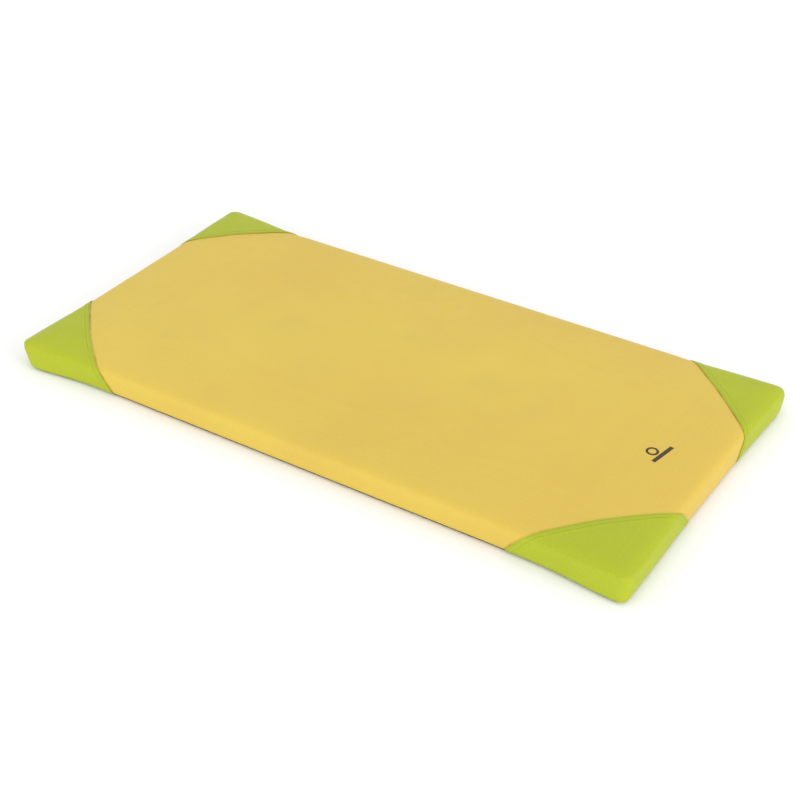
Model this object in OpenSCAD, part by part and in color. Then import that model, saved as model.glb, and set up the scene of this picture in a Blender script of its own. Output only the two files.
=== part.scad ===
// Gymnastics mat with reinforced corners.
// A layered foam core in a coated-fabric cover with a zip along the rear long wall,
// a separate non-slip base sheet and a sewn cap over each corner.
// Units are millimetres. Origin: centre of the underside. +X along the length,
// +Y towards the rear long wall (the zip side), +Z up.

/* [Mat] */
// Overall length
mat_l = 2000; // [1980:10:2400]
// Overall width
mat_w = 1000; // [800:10:1200]
// Overall thickness
mat_t = 80; // [70:1:120]
// Radius of the rounded top edges
edge_r = 20; // [12:1:28]
// Radius of the upright corners, seen from above
corner_r = 30; // [29:1:45]
// Flat facets in each quarter round
round_steps = 6; // [3:1:10]

/* [Layers] */
// Thickness of the sewing thread that stands on the caps
thread_t = 0.5; // [0.3:0.1:0.8]
// Thickness of a corner cap with its backing
cap_t = 3; // [2.5:0.1:4]
// Thickness of the coated cover fabric
cover_t = 1; // [0.6:0.1:1.2]
// Thickness of the non-slip base sheet
base_t = 2; // [1.5:0.1:3]
// Height of the firm lower foam layer
firm_foam_t = 30; // [15:1:35]

/* [Corner caps] */
// Leg of the cap along each top edge, from the corner
cap_leg_top = 290; // [200:5:300]
// Leg of the cap along each bottom edge, from the corner
cap_leg_bottom = 355; // [300:5:360]
// Distance between the two rows of cap stitching
cap_row_gap = 12; // [8:1:20]
// Distance of the first stitching row from the cap's edge
cap_row_inset = 6; // [4:1:10]

/* [Zip] */
// Length of the zip's chain
zip_l = 1300; // [800:10:1300]
// Height of the zip's centre line above the floor
zip_z = 40; // [34:1:40]
// Height of the slot in the cover that shows the chain
slot_h = 17; // [16:0.5:20]
// Height of one row of teeth
row_h = 4; // [3:0.5:4.5]
// Clear gap between the two rows of teeth
row_gap = 2.4; // [2:0.1:3]
// Thickness of the teeth
row_t = 2.6; // [2:0.1:3]
// Width of each zip tape
tape_h = 14; // [10:1:14]
// Thickness of the zip tape
tape_t = 1; // [0.5:0.1:1]
// Length of the slider
slider_l = 16; // [12:0.5:20]
// Half height of the slider's plates
slider_half_h = 7; // [6.8:0.1:7.5]
// Length of the pull tab from its hinge to its tip
pull_l = 34; // [24:1:40]
// Distance of the parked slider from the closed end of the chain
slider_park = 12; // [10:1:20]

/* [Print and label] */
// Outer radius of the printed ring
ring_r = 18; // [10:1:25]
// Place of the print from the mat's centre, along X
print_x = 820; // [700:5:860]
// Place of the print from the mat's centre, along Y
print_y = -4; // [-100:1:100]
// Turn of the print, clockwise seen from above
print_turn = 10; // [0:1:30]
// Width of the blank care label
label_w = 46; // [30:1:60]
// Height of the blank care label
label_h = 20; // [15:1:24]

/* [Hidden] */

// The shells lie inside one another; an inset is a surface's distance from the outside.
cap_inset = thread_t;
cover_inset = cap_inset + cap_t;
foam_inset = cover_inset + cover_t;
foam_split_z = base_t + firm_foam_t;
cut = 1;                  // how far a cutting body runs past what it cuts
seam_room = 6;            // bevel on the lower foam's bottom edge, room for the base seam

// Zip, seen from outside: Y is the depth, U is the height above the zip's centre line.
wall_y = mat_w / 2 - cover_inset;          // outer face of the cover's wall
tape_y = mat_w / 2 - foam_inset;           // outer face of the tapes, inner face of the wall
chain_y = tape_y - tape_t / 2;             // middle of the chain's thickness
zip_end = zip_l / 2;
stop_l = 6;
stop_t = 3.4;
plate_t = 1;
plate_in_gap = 0.65;                       // top plate above the wall
plate_y_top = wall_y + plate_in_gap + plate_t;
lip_t = 1;
lip_gap = 0.3;                             // lips clear of the tapes
bottom_plate_gap = 1.65;                   // bottom plate behind the tapes
plate_y_bottom = tape_y - tape_t - bottom_plate_gap - plate_t;
post_h = row_gap - 0.6;
post_l = 4;
pocket_u = 22;                             // half height of the pocket in the foam
pocket_extra = 14;                         // pocket beyond each end of the chain
pocket_y = plate_y_bottom - 0.6;
slider_x = zip_end - slider_park;

// Pull hinge: an upright pin of the pull turns in the slider's bridge.
pin_r = 0.45;
pin_y = plate_y_top + 0.15 + pin_r;
bridge_t = 0.6;
bridge_y = pin_y + pin_r + 0.1;            // inner face of the bridge
bridge_x = 3;                              // half length of the bridge inside its legs
bridge_h = 2.4;
pull_h = 8;
pull_window = 4.4;                         // opening beside the pin, clear of the bridge as it turns

// A quarter round from angle a to a + 90, as points on a circle.
function arc(cx, cy, r, a) =
    [for (i = [0:round_steps]) let (t = a + 90 * i / round_steps)
        [cx + r * cos(t), cy + r * sin(t)]];

// Half profile of the rounded slab: how far it reaches out from u = 0, at each height.
function slab_profile(reach, z0, z1, r, chamfer) = concat(
    [[0, z0], [reach - chamfer, z0]],
    chamfer > 0 ? [[reach, z0 + chamfer]] : [],
    r > 0 ? arc(reach - r, z1 - r, r, 0) : [[reach, z1]],
    [[0, z1]]);

// Slab with rounded upright corners and, where round_top is true, rounded top edges.
module slab(inset, z0, z1, round_top = true, chamfer = 0) {
    half_l = mat_l / 2 - corner_r;
    half_w = mat_w / 2 - corner_r;
    reach = corner_r - inset;
    r = round_top ? edge_r - inset : 0;
    translate([-half_l, -half_w, z0]) cube([2 * half_l, 2 * half_w, z1 - z0]);
    for (side = [0, 1]) rotate([0, 0, 180 * side]) {
        translate([half_l, half_w, 0]) rotate([90, 0, 0])
            linear_extrude(2 * half_w) polygon(slab_profile(reach, z0, z1, r, chamfer));
        translate([-half_l, half_w, 0]) rotate([90, 0, 90])
            linear_extrude(2 * half_l) polygon(slab_profile(reach, z0, z1, r, chamfer));
        for (end = [0, 1])
            translate([end == 0 ? half_l : -half_l, half_w, 0]) rotate([0, 0, 90 * end])
                rotate_extrude(angle = 90, $fn = 48)
                    polygon(slab_profile(reach, z0, z1, r, chamfer));
    }
}

// The skin between two insets, open at the bottom.
module skin(outer, inner) {
    difference() {
        slab(outer, base_t, mat_t - outer);
        slab(inner, base_t - cut, mat_t - inner);
    }
}

// All that is nearer to the corner than the cap's slanted edge, moved in by back.
// The edge leans away from the corner as it goes down.
module corner_side(sx, sy, back = 0) {
    lean = atan((cap_leg_bottom - cap_leg_top) / sqrt(2) / mat_t);
    size = 500;
    mirror([sx < 0 ? 1 : 0, 0, 0]) mirror([0, sy < 0 ? 1 : 0, 0])
        translate([mat_l / 2, mat_w / 2, mat_t]) rotate([0, 0, 45])
            translate([-cap_leg_top / sqrt(2) + back, 0, 0]) rotate([0, lean, 0])
                translate([0, -size, -size / 2]) cube([size, 2 * size, size]);
}

module corner_cap(sx, sy) {
    color("yellowgreen") intersection() {
        skin(cap_inset, cover_inset);
        corner_side(sx, sy);
    }
}

// Two rows of thread that follow the cap's edge over the top and down both walls.
module cap_stitches(sx, sy) {
    thread_w = 1;
    color("olivedrab") for (row = [0, 1]) {
        back = cap_row_inset + row * cap_row_gap;
        difference() {
            intersection() {
                skin(0, cap_inset);
                corner_side(sx, sy, back);
            }
            corner_side(sx, sy, back + thread_w);
        }
    }
}

module base_sheet() {
    color("dimgray") slab(0, 0, base_t, round_top = false);
}

module zip_pocket() {
    translate([-zip_end - pocket_extra, pocket_y, zip_z - pocket_u])
        cube([2 * (zip_end + pocket_extra), mat_w / 2 - pocket_y, 2 * pocket_u]);
}

module foam(z0, z1, round_top, chamfer) {
    difference() {
        slab(foam_inset, z0, z1, round_top, chamfer);
        zip_pocket();
    }
}

module foam_base_layer() {
    color("slategray") foam(base_t, foam_split_z, false, seam_room);
}

module foam_top_layer() {
    color("ivory") foam(foam_split_z, mat_t - foam_inset, true, 0);
}

module cover() {
    color("khaki") difference() {
        skin(cover_inset, foam_inset);
        translate([-zip_end - stop_l, mat_w / 2 - 3 * foam_inset, zip_z - slot_h / 2])
            cube([2 * (zip_end + stop_l), 3 * foam_inset, slot_h]);
    }
}

module corner_cap_front_left() { corner_cap(-1, -1); }
module corner_cap_front_right() { corner_cap(1, -1); }
module corner_cap_rear_left() { corner_cap(-1, 1); }
module corner_cap_rear_right() { corner_cap(1, 1); }
module cap_stitches_front_left() { cap_stitches(-1, -1); }
module cap_stitches_front_right() { cap_stitches(1, -1); }
module cap_stitches_rear_left() { cap_stitches(-1, 1); }
module cap_stitches_rear_right() { cap_stitches(1, 1); }

// Thread of the seam between the walls and the base, in the foam's bevel.
module base_seam_thread() {
    side = 0.8;
    gap = 0.6;
    color("gold") difference() {
        slab(foam_inset + gap, base_t + gap, base_t + gap + side, round_top = false);
        slab(foam_inset + gap + side, base_t, base_t + gap + side + cut, round_top = false);
    }
}

// A bar along the zip, on the upper (up = 1) or lower (up = -1) side of its centre line.
module zip_bar(up, u0, u1, y0, y1, half_l) {
    low = up > 0 ? u0 : -u1;
    translate([-half_l, y0, zip_z + low]) cube([2 * half_l, y1 - y0, u1 - u0]);
}

module zip_tape(up) {
    color("darkgoldenrod")
        zip_bar(up, row_gap / 2 + row_h, row_gap / 2 + row_h + tape_h,
            tape_y - tape_t, tape_y, zip_end + stop_l);
}

module zip_teeth(up) {
    color("goldenrod")
        zip_bar(up, row_gap / 2, row_gap / 2 + row_h,
            chain_y - row_t / 2, chain_y + row_t / 2, zip_end);
}

module zip_stitches(up) {
    thread = 0.5;
    off = slot_h / 2 + 2.5;
    color("gold") zip_bar(up, off, off + thread, wall_y, wall_y + thread, zip_end);
}

module zip_tape_upper() { zip_tape(1); }
module zip_tape_lower() { zip_tape(-1); }
module zip_teeth_upper() { zip_teeth(1); }
module zip_teeth_lower() { zip_teeth(-1); }
module zip_stitches_upper() { zip_stitches(1); }
module zip_stitches_lower() { zip_stitches(-1); }

// One metal crimp on each tape's end, where the zip is closed.
module zip_top_stops() {
    color("silver") for (up = [1, -1]) {
        low = up > 0 ? row_gap / 2 : -row_gap / 2 - row_h;
        translate([zip_end, chain_y - stop_t / 2, zip_z + low]) cube([stop_l, stop_t, row_h]);
    }
}

// One block across both rows, where the zip is open.
module zip_bottom_stop() {
    half_u = row_gap / 2 + row_h;
    color("silver") translate([-zip_end - stop_l, chain_y - stop_t / 2, zip_z - half_u])
        cube([stop_l, stop_t, 2 * half_u]);
}

// Two plates with lips that run along the teeth, joined by the post between the rows,
// and a bridge on the outer plate that holds the pull.
module zip_slider() {
    lip_top_y = tape_y + lip_gap;
    lip_bottom_y = tape_y - tape_t - lip_gap;
    half_l = slider_l / 2;
    color("silver") translate([slider_x, 0, zip_z]) {
        translate([-half_l, plate_y_top - plate_t, -slider_half_h])
            cube([slider_l, plate_t, 2 * slider_half_h]);
        translate([-half_l, plate_y_bottom, -slider_half_h])
            cube([slider_l, plate_t, 2 * slider_half_h]);
        for (up = [0, 1]) mirror([0, 0, up]) {
            translate([-half_l, lip_top_y, slider_half_h - lip_t])
                cube([slider_l, plate_y_top - lip_top_y - plate_t / 2, lip_t]);
            translate([-half_l, plate_y_bottom + plate_t / 2, slider_half_h - lip_t])
                cube([slider_l, lip_bottom_y - plate_y_bottom - plate_t / 2, lip_t]);
        }
        translate([half_l - post_l, plate_y_bottom + plate_t / 2, -post_h / 2])
            cube([post_l, plate_y_top - plate_y_bottom - plate_t, post_h]);
        difference() {
            translate([-bridge_x - bridge_t, plate_y_top - plate_t / 2, -bridge_h / 2])
                cube([2 * (bridge_x + bridge_t), bridge_y + bridge_t - plate_y_top + plate_t / 2,
                    bridge_h]);
            translate([-bridge_x, plate_y_top - plate_t, -bridge_h])
                cube([2 * bridge_x, bridge_y - plate_y_top + plate_t, 2 * bridge_h]);
        }
    }
}

// A flat tab with a window at its root. The round bar beside the window is the hinge pin.
module zip_pull() {
    frame_w = 1.2;
    window_h = bridge_h + 1;
    color("silver") translate([slider_x, pin_y, zip_z]) {
        cylinder(r = pin_r, h = window_h + 2 * frame_w, center = true, $fn = 32);
        difference() {
            translate([-pull_l, -pin_r, -pull_h / 2]) cube([pull_l, 2 * pin_r, pull_h]);
            translate([-pull_window, -1, -window_h / 2]) cube([pull_window + 1, 2, window_h]);
            translate([-pull_window, -1, window_h / 2 + frame_w]) cube([pull_window + 1, 2, pull_h]);
            translate([-pull_window, -1, -pull_h - window_h / 2 - frame_w])
                cube([pull_window + 1, 2, pull_h]);
            translate([-pull_l + pull_h / 2, 0, 0]) rotate([90, 0, 0])
                cylinder(r = 1.6, h = 4, center = true, $fn = 32);
        }
    }
}

module care_label() {
    label_t = 0.4;
    color("white") translate([-label_w / 2, wall_y, base_t]) cube([label_w, label_t, label_h]);
}

// Plain ring and bar, printed on the top near the right end.
module printed_mark() {
    ink_t = 0.2;
    ring_w = 7;
    bar_gap = 4;
    bar_w = 12;
    bar_l = 88;
    bar_shift = 8;
    top_z = mat_t - cover_inset;
    color("dimgray") translate([print_x, print_y, top_z]) rotate([0, 0, -print_turn]) {
        difference() {
            cylinder(r = ring_r, h = ink_t, $fn = 64);
            translate([0, 0, -cut]) cylinder(r = ring_r - ring_w, h = ink_t + 2 * cut, $fn = 64);
        }
        translate([ring_r + bar_gap, bar_shift - bar_l / 2, 0]) cube([bar_w, bar_l, ink_t]);
    }
}

base_sheet();
foam_base_layer();
foam_top_layer();
cover();
corner_cap_front_left();
corner_cap_front_right();
corner_cap_rear_left();
corner_cap_rear_right();
cap_stitches_front_left();
cap_stitches_front_right();
cap_stitches_rear_left();
cap_stitches_rear_right();
base_seam_thread();
zip_tape_upper();
zip_tape_lower();
zip_teeth_upper();
zip_teeth_lower();
zip_stitches_upper();
zip_stitches_lower();
zip_top_stops();
zip_bottom_stop();
zip_slider();
zip_pull();
care_label();
printed_mark();
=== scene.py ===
# %% [markdown]
# # A gymnastics mat with reinforced corners
#
# The mat is a block of foam in a cover of coated fabric. A cap of tougher fabric is sewn
# over each corner, a non-slip sheet closes the underside, and a zip along the rear long
# wall lets the foam out. The CAD model gives every size and place; this lesson dresses it.
# Everything is in metres, with the origin under the middle of the mat, X along its length,
# Y towards the zip and Z up.

# %% Load the frame
import math

import bmesh
import bpy
import numpy as np
from mathutils import Matrix, Vector, noise
from mathutils.bvhtree import BVHTree


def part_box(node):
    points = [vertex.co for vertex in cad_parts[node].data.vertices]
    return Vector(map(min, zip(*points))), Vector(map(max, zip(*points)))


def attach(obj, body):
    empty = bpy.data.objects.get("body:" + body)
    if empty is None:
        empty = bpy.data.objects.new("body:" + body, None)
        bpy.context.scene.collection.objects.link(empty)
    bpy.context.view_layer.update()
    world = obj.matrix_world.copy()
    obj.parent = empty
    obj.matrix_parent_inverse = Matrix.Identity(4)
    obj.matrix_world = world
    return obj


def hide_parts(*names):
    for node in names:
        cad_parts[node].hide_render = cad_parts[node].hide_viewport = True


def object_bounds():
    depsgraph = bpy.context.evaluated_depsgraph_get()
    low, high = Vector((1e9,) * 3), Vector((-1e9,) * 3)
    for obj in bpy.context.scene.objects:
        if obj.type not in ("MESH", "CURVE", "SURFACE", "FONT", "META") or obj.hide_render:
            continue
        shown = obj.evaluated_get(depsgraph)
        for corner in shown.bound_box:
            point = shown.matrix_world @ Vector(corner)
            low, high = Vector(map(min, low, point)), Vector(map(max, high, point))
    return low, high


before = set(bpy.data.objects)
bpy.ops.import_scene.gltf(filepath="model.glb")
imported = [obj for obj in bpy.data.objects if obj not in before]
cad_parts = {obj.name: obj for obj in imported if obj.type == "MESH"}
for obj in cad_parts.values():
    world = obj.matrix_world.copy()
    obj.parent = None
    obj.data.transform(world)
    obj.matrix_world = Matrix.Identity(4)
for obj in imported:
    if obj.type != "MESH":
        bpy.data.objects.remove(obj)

cad_low, cad_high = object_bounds()
MM = 0.001
print("CAD box", [round(v, 4) for v in (*cad_low, *cad_high)])

# %% [markdown]
# ## Sizes that everything else follows
#
# The outer box comes from the corner caps and the base sheet. The cover's wall lies a few
# millimetres inside it, because the caps are laid over it. On the real mat the caps stand
# out and the fabric between them is drawn in, so the corners get a little more reach here
# and the middles a little less.

# %% Driving sizes
def middle(node, axis):
    """Middle of a CAD node's box along one axis."""
    low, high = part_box(node)
    return (getattr(low, axis) + getattr(high, axis)) / 2


HALF_L, HALF_W, TOP = cad_high.x, cad_high.y, cad_high.z
FLOOR_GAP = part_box("base_sheet")[1].z          # top face of the base sheet
WALL_X, WALL_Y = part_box("cover")[1].x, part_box("cover")[1].y
EDGE_TOP = 0.0745                              # height of the cover close to its edges
CROWN = 0.0125                                 # rise from there to the middle
CROWN_REACH = 0.105                            # how gently the crown rises
PRESSURE = 0.6                                 # of the foam against the cloth
CORNER_R, EDGE_R, FOOT_R = 0.017, 0.016, 0.010
CAP_LEG_TOP, CAP_LEG_FOOT = 0.290, 0.355       # cap's legs along the top and bottom edges
ZIP_Z = middle("zip_slider", "z")
ZIP_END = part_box("zip_teeth_upper")[1].x
SLOT_HALF = 0.0085                             # half height of the opening over the teeth
CORNERS = {"front_left": (-1, -1), "front_right": (1, -1),
           "rear_left": (-1, 1), "rear_right": (1, 1)}
print("wall at", round(WALL_X, 4), round(WALL_Y, 4), "zip at height", round(ZIP_Z, 4))

# %% [markdown]
# ## Helpers for working as by hand
#
# Most steps are the same few moves: select one object, go into edit mode, pick some faces
# or edges by their place, run an operator, and apply a modifier. The helpers keep those
# moves short.

# %% Selecting, editing and applying
def only(obj):
    """Makes obj the one selected and active object, in object mode."""
    if bpy.context.object and bpy.context.object.mode != "OBJECT":
        bpy.ops.object.mode_set(mode="OBJECT")
    bpy.ops.object.select_all(action="DESELECT")
    obj.select_set(True)
    bpy.context.view_layer.objects.active = obj
    return obj


def nothing():
    """Leaves no object selected, so that a new primitive is alone."""
    bpy.ops.object.select_all(action="DESELECT")


def new_piece(name):
    """Names the primitive just added and puts its place, turn and scale into its mesh."""
    obj = bpy.context.object
    obj.name = obj.data.name = name
    bpy.ops.object.transform_apply(location=True, rotation=True, scale=True)
    return obj


def edit(obj):
    only(obj)
    bpy.ops.object.mode_set(mode="EDIT")


def done():
    bpy.ops.object.mode_set(mode="OBJECT")


def everything():
    """In edit mode, selects the whole mesh."""
    bpy.ops.mesh.select_all(action="SELECT")


def pick(obj, kind, test):
    """In edit mode, selects the vertices, edges or faces that pass the test."""
    bpy.ops.mesh.select_mode(type=kind)
    bpy.ops.mesh.select_all(action="DESELECT")
    bm = bmesh.from_edit_mesh(obj.data)
    parts = {"VERT": bm.verts, "EDGE": bm.edges, "FACE": bm.faces}[kind]
    count = 0
    for part in parts:
        if test(part):
            part.select_set(True)
            count += 1
    bmesh.update_edit_mesh(obj.data)
    return count


def modify(obj, kind, **settings):
    """Adds a modifier, sets it and applies it."""
    only(obj)
    modifier = obj.modifiers.new(kind.title(), kind)
    for name, value in settings.items():
        setattr(modifier, name, value)
    bpy.ops.object.modifier_apply(modifier=modifier.name)
    return obj


def box_piece(name, low, high):
    """A box between two corners, with its place in its mesh."""
    nothing()
    low, high = Vector(low), Vector(high)
    bpy.ops.mesh.primitive_cube_add(size=1, location=(low + high) / 2, scale=high - low)
    return new_piece(name)


def spans(edge, axis):
    """How far an edge reaches along one axis."""
    a, b = edge.verts
    return abs(getattr(a.co, axis) - getattr(b.co, axis))


def bevel(width, segments):
    """In edit mode, bevels the selected edges."""
    bpy.ops.mesh.bevel(offset=width, segments=segments, affect="EDGES")


def copy_of(obj, name):
    """A copy with a mesh of its own."""
    new = obj.copy()
    new.data = obj.data.copy()
    new.name = new.data.name = name
    bpy.context.scene.collection.objects.link(new)
    return new


def smooth(obj, degrees):
    """Smooths the shading, apart from edges that are sharper than this."""
    only(obj)
    bpy.ops.object.shade_smooth_by_angle(angle=math.radians(degrees))


def points(obj):
    """The vertices as an array, one row each."""
    co = np.empty(len(obj.data.vertices) * 3)
    obj.data.vertices.foreach_get("co", co)
    return co.reshape(-1, 3)


def set_points(obj, co):
    obj.data.vertices.foreach_set("co", np.asarray(co, float).ravel())
    obj.data.update()


def keep_value(obj, name, values):
    """Keeps a number on each vertex, for a material to read."""
    layer = obj.data.attributes.new(name, "FLOAT", "POINT")
    layer.data.foreach_set("value", np.asarray(values, np.float32))


def smooth_step(x):
    x = np.clip(x, 0, 1)
    return x * x * (3 - 2 * x)


# %% [markdown]
# ## The padded cover: a block with soft edges
#
# A foam block in a tight cover is a box with rounded edges, so it starts as one: a cube at
# the wall's size, with its upright edges beveled first, then the top ring and the bottom
# ring. The bottom edge is tighter, because a seam is there and the mat's weight is on it.
# A voxel remesh turns the box into an even net of squares that cloth can work with.

# %% Model the block
VOXEL = 0.012
cover = box_piece("cover_padded", (-WALL_X, -WALL_Y, FLOOR_GAP), (WALL_X, WALL_Y, EDGE_TOP))
edit(cover)
pick(cover, "EDGE", lambda e: spans(e, "z") > 0.02)
bevel(CORNER_R, 8)
pick(cover, "EDGE", lambda e: min(v.co.z for v in e.verts) > EDGE_TOP - MM)
bevel(EDGE_R, 6)
pick(cover, "EDGE", lambda e: max(v.co.z for v in e.verts) < FLOOR_GAP + MM)
bevel(FOOT_R, 3)
done()
modify(cover, "REMESH", mode="VOXEL", voxel_size=VOXEL)
print("block:", len(cover.data.vertices), "vertices")

# %% [markdown]
# ## Filling it: cloth under pressure
#
# The foam presses on the fabric from inside. Cloth with a pressure and no gravity swells as
# fabric does, and gives each point the way it moves. Foam also holds the fabric back, so a
# point may move only so far: hardly at all on the floor, at the zip and where a cap is sewn
# on, and further towards the middle of the top. The pressure takes nearly every point to
# its limit, so it is the limit that sets how high the crown rises.

# %% How far each point may move
def edge_distance(co):
    """Distance from each point to the nearest side of the mat, seen from above."""
    return np.minimum(WALL_X - np.abs(co[:, 0]), WALL_Y - np.abs(co[:, 1]))


# Caps are sewn on by hand, so each differs: more leg along X, more along Y, and how far
# the edge curves away from the corner.
CAP_CUTS = {"front_left": (0.009, 0.012, -0.005), "front_right": (0.010, 0.023, 0.014),
            "rear_left": (0.000, -0.024, 0.004), "rear_right": (0.002, -0.012, 0.006)}


def seam_plane(corner, back=0.0):
    """A point and a unit normal of a cap's slanted edge, moved back into the cap."""
    (sx, sy), (more_x, more_y, _) = CORNERS[corner], CAP_CUTS[corner]
    leg_x, leg_y = CAP_LEG_TOP + more_x, CAP_LEG_TOP + more_y
    mean_leg = (leg_x + leg_y) / 2
    slant = (CAP_LEG_FOOT - CAP_LEG_TOP) / TOP
    normal = Vector((sx * leg_y / mean_leg, sy * leg_x / mean_leg, -slant)).normalized()
    return Vector((sx * (HALF_L - leg_x), sy * HALF_W, TOP)) + normal * back, normal


def inside_cap(co, corner):
    """How far each point is past the plane of one cap's edge."""
    place, normal = seam_plane(corner)
    return (co - np.array(place)) @ np.array(normal)


def seam_distance(co):
    """How far each point is inside (above 0) or outside the nearest cap's edge."""
    return np.max([inside_cap(co, corner) for corner in CORNERS], axis=0)


def near_zip(co, reach):
    """1 on the strip of the rear wall that holds the zip, fading to 0 over reach."""
    beyond_x = np.clip(np.abs(co[:, 0]) - ZIP_END - 0.02, 0, None)
    beyond_z = np.clip(np.abs(co[:, 2] - ZIP_Z) - 0.020, 0, None)
    beyond_y = np.clip(WALL_Y - 0.006 - co[:, 1], 0, None)
    return 1 - smooth_step((beyond_x + beyond_z + beyond_y) / reach)


def allowed(co):
    """The furthest each point may move under the pressure."""
    crown = 1 - np.exp(-np.clip(edge_distance(co) - 0.012, 0, None) / CROWN_REACH)
    limit = 0.002 + CROWN * crown
    lifted = smooth_step((co[:, 2] - 0.008) / 0.03)
    sewn = np.exp(-((seam_distance(co) / 0.012) ** 2))
    return limit * lifted * (1 - 0.10 * sewn) * (1 - near_zip(co, 0.03))


# %% Run the cloth
def swell(obj, pressure, frames):
    """Cloth under pressure, with every point held to its limit."""
    start = points(obj)
    only(obj)
    cloth = obj.modifiers.new("Cloth", "CLOTH")
    cloth.settings.quality = 4
    cloth.settings.tension_stiffness = 12
    cloth.settings.compression_stiffness = 12
    cloth.settings.bending_stiffness = 0.4
    cloth.settings.use_pressure = True
    cloth.settings.uniform_pressure_force = pressure
    cloth.settings.effector_weights.gravity = 0
    cloth.point_cache.frame_end = frames
    for step in range(1, frames + 1):
        bpy.context.scene.frame_set(step)
    bpy.ops.object.modifier_apply(modifier=cloth.name)
    move = points(obj) - start
    far = np.linalg.norm(move, axis=1)
    scale = np.minimum(1, allowed(start) / np.maximum(far, 1e-9))
    set_points(obj, start + move * scale[:, None])
    bpy.context.scene.frame_set(1)
    return far.max(), (scale < 1).mean()


furthest, held = swell(cover, PRESSURE, 20)
print("cloth moved up to", round(furthest, 4), "share held", round(held, 3))

# %% [markdown]
# ## Settling: corners stand out, sides draw in, feet tuck under
#
# A tight cover never stays a plain box. The corners are doubled by the caps and stand out;
# the fabric between them is drawn in by its own tension. At each corner the bottom seam
# pulls the wall in under the mat, so the corner is tight at the top and round at the foot.
# These moves are smooth functions of place, so one function can settle every piece that
# follows the mat's outline, and they keep fitting one another.

# %% The settling moves
CORNER_REACH_OUT = 0.006      # corners past the CAD box
MIDDLE_DRAW_IN = 0.0025       # middles of the walls inside it
FOOT_CORNER_R = {"front_left": 0.045, "front_right": 0.012,    # plan radius of each corner
                 "rear_left": 0.055, "rear_right": 0.058}      # at the foot
# How far each corner's foot, and its whole height, is out of place along X and Y.
FOOT_SHIFT = {"front_left": (0.024, -0.015), "front_right": (-0.003, -0.016),
              "rear_left": (0.0, 0.0), "rear_right": (0.0, 0.0)}
BODY_SHIFT = {"front_left": (0.0, 0.0), "front_right": (0.0, 0.0),
              "rear_left": (0.006, 0.014), "rear_right": (0.0, 0.0)}
FOOT_REACH, BODY_REACH = 0.26, 0.30     # how far from the corner those shifts fade out
STAND_REACH_X, STAND_REACH_Y = 0.42, 0.36     # how far a corner's stand-out goes along a wall
INWARD_REACH = 0.30           # how far in from a wall the mat moves with it
CREASE = 4.5                  # how square the top edge is under a cap; 2 is a quarter round


def lowness(co):
    """1 at the foot, falling to 0 under the top edge."""
    return 1 - smooth_step((co[:, 2] - 0.004) / (EDGE_TOP - 0.012))


def flare(co):
    """Moves each corner's foot, and its whole height, a little out of place."""
    low, out = lowness(co), co.copy()
    for corner, (sx, sy) in CORNERS.items():
        away = np.hypot(HALF_L - sx * co[:, 0], HALF_W - sy * co[:, 1])
        foot = low * (1 - smooth_step(away / FOOT_REACH))
        body = 1 - smooth_step(away / BODY_REACH)
        for k in (0, 1):
            out[:, k] += foot * FOOT_SHIFT[corner][k] + body * BODY_SHIFT[corner][k]
    return out


def settle(co):
    """Moves points with the mat: out at the corners, in at the middles, tucked at the feet."""
    out = co.copy()
    ax, ay = np.abs(co[:, 0]), np.abs(co[:, 1])
    to_corner_x = np.clip((HALF_L - ax) / STAND_REACH_X, 0, 1)
    to_corner_y = np.clip((HALF_W - ay) / STAND_REACH_Y, 0, 1)
    stand = CORNER_REACH_OUT + MIDDLE_DRAW_IN
    shift_y = stand * (1 - smooth_step(to_corner_x)) - MIDDLE_DRAW_IN
    shift_x = stand * (1 - smooth_step(to_corner_y)) - MIDDLE_DRAW_IN
    fade_y = 1 - smooth_step((HALF_W - ay) / INWARD_REACH)
    fade_x = 1 - smooth_step((HALF_L - ax) / INWARD_REACH)
    keep = 1 - near_zip(co, 0.04)
    out[:, 1] += np.sign(co[:, 1]) * shift_y * fade_y * keep
    out[:, 0] += np.sign(co[:, 0]) * shift_x * fade_x
    return flare(tuck(crease(out)))


def plan_view(co):
    """The settled outline's half size, and each point in plan: place, side, place past the
    centres of the corner rounds."""
    half = np.array([[WALL_X + CORNER_REACH_OUT, WALL_Y + CORNER_REACH_OUT]])
    plan, sign = np.abs(co[:, :2]), np.sign(co[:, :2])
    return half, plan, sign, plan - (half - CORNER_R)


def fold(co):
    """Place of each point on the top edge's round, outward and up, and which way is out."""
    half, plan, sign, q = plan_view(co)
    in_corner = (q > 0).all(1)
    reach = np.maximum(np.linalg.norm(q, axis=1), 1e-9)
    depth = np.where(in_corner, CORNER_R - reach, (half - plan).min(1))
    nearest = np.eye(2)[np.argmin(half - plan, axis=1)]
    outward = np.where(in_corner[:, None], q / reach[:, None], nearest)
    u = np.clip(1 - depth / EDGE_R, 0, 1)
    c = np.clip((co[:, 2] - EDGE_TOP + EDGE_R) / EDGE_R, 0, 1)
    return u, c, sign * outward


def crease(co):
    """Squares up the rounded top edge under the caps, where doubled fabric is folded."""
    u, c, outward = fold(co)
    square = np.maximum((u ** CREASE + c ** CREASE) ** (1 / CREASE), 1e-9)
    gain = np.sqrt(u ** 2 + c ** 2) / square - 1
    gain *= smooth_step(seam_distance(co) / 0.05) * ((u > 0) & (c > 0))
    out = co.copy()
    out[:, :2] += outward * (EDGE_R * u * gain)[:, None]
    out[:, 2] += EDGE_R * c * gain
    return out


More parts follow.
